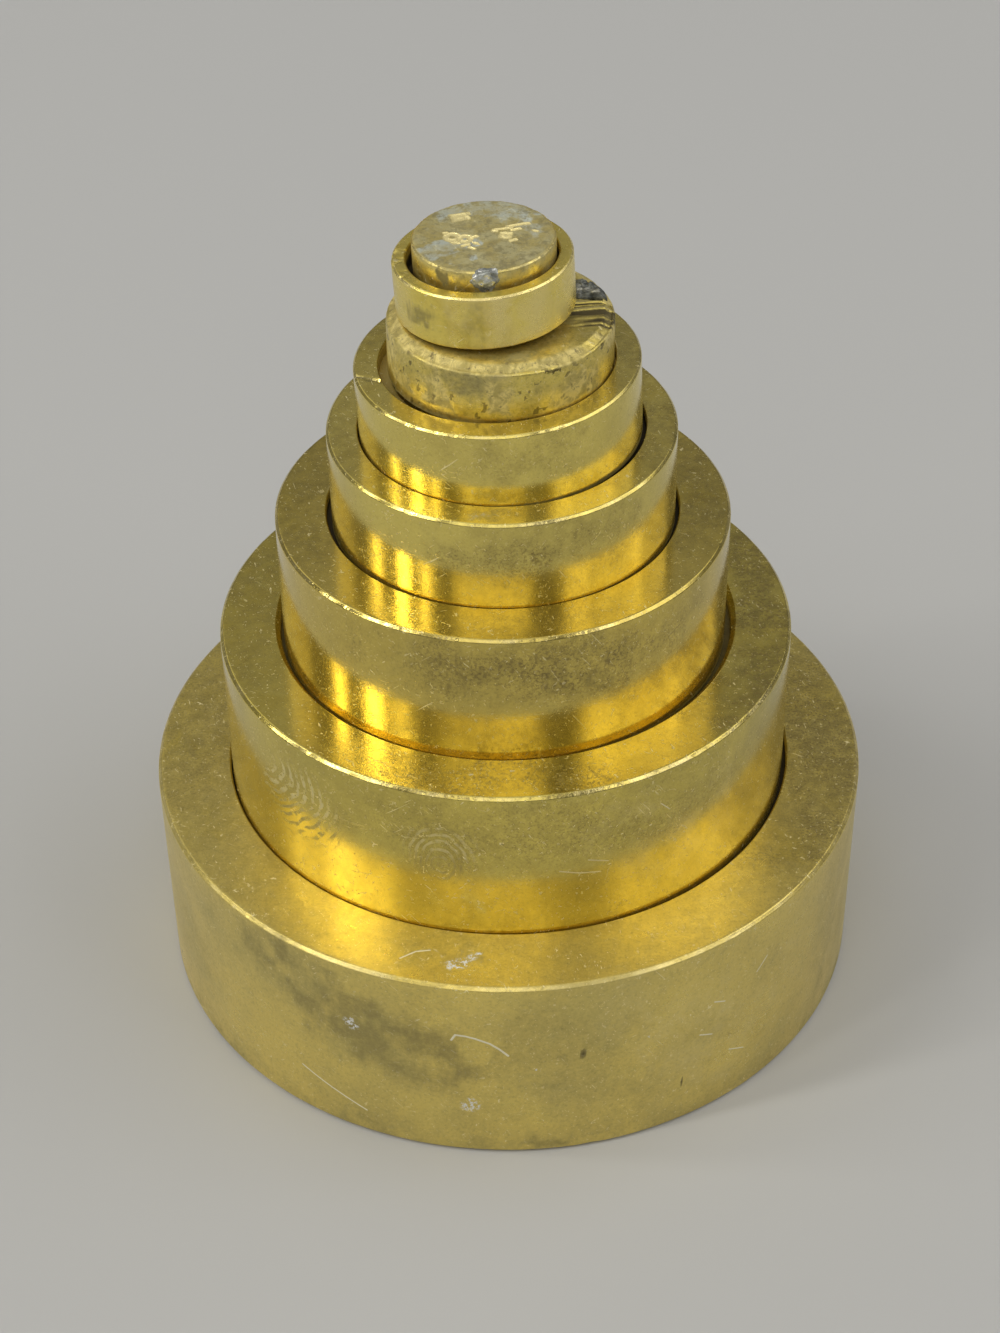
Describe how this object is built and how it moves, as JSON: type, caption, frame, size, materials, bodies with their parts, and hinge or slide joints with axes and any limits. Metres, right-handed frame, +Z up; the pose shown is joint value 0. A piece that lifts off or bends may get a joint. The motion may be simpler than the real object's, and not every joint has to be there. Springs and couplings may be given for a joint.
{
  "type": "nested cup weight",
  "caption": "Graduated set of turned brass balance weights, each a cup whose shallow mouth takes the foot of the next smaller one, stacked as a stepped tower.",
  "frame": {"origin": "centre of the largest weight's flat base, on the surface it stands on", "axes": "+Z up the stack; -Y is the side that the picture is taken from, +X to its right"},
  "size_m": [0.0448, 0.0448, 0.051],
  "materials": {
    "brass_base_cup": "satin aged brass, fine scratches and brown tarnish",
    "brass_cup_2": "polished aged brass, finger marks",
    "brass_cup_3": "polished aged brass, mottled tarnish",
    "brass_cup_4": "polished aged brass, mottled tarnish",
    "brass_cup_5": "polished aged brass, one cut across the ring",
    "brass_inverted_cup": "worn pitted brass with file marks",
    "brass_cup_7": "satin brass with small chips on the rim",
    "brass_solid_disc": "grey-brown patina with bright punched spots",
    "adjusting_lead": null,
    "adjusting_solder": "dull lumpy grey solder"
  },
  "bodies": {
    "weight_1": {"weight_1_base_cup": "brass_base_cup"},
    "weight_2": {"weight_2_cup": "brass_cup_2"},
    "weight_3": {"weight_3_cup": "brass_cup_3"},
    "weight_4": {"weight_4_cup": "brass_cup_4"},
    "weight_5": {"weight_5_cup": "brass_cup_5"},
    "weight_6": {"weight_6_inverted_cup": "brass_inverted_cup", "adjusting_lead_plug": "adjusting_lead"},
    "weight_7": {"weight_7_cup": "brass_cup_7"},
    "weight_8": {"weight_8_solid_disc": "brass_solid_disc", "adjusting_solder_drop": "adjusting_solder"}
  },
  "joints": [
    {"name": "lift_weight_2", "type": "slide", "parent": "weight_1", "child": "weight_2", "axis": [0, 0, 1], "range_m": [0, 0.018]},
    {"name": "lift_weight_3", "type": "slide", "parent": "weight_2", "child": "weight_3", "axis": [0, 0, 1], "range_m": [0, 0.015]},
    {"name": "lift_weight_4", "type": "slide", "parent": "weight_3", "child": "weight_4", "axis": [0, 0, 1], "range_m": [0, 0.012]},
    {"name": "lift_weight_5", "type": "slide", "parent": "weight_4", "child": "weight_5", "axis": [0, 0, 1], "range_m": [0, 0.01]},
    {"name": "lift_weight_6", "type": "slide", "parent": "weight_5", "child": "weight_6", "axis": [0, 0, 1], "range_m": [0, 0.009]},
    {"name": "lift_weight_7", "type": "slide", "parent": "weight_6", "child": "weight_7", "axis": [0, 0, 1], "range_m": [0, 0.008]},
    {"name": "lift_weight_8", "type": "slide", "parent": "weight_7", "child": "weight_8", "axis": [0, 0, 1], "range_m": [0, 0.007]}
  ]
}
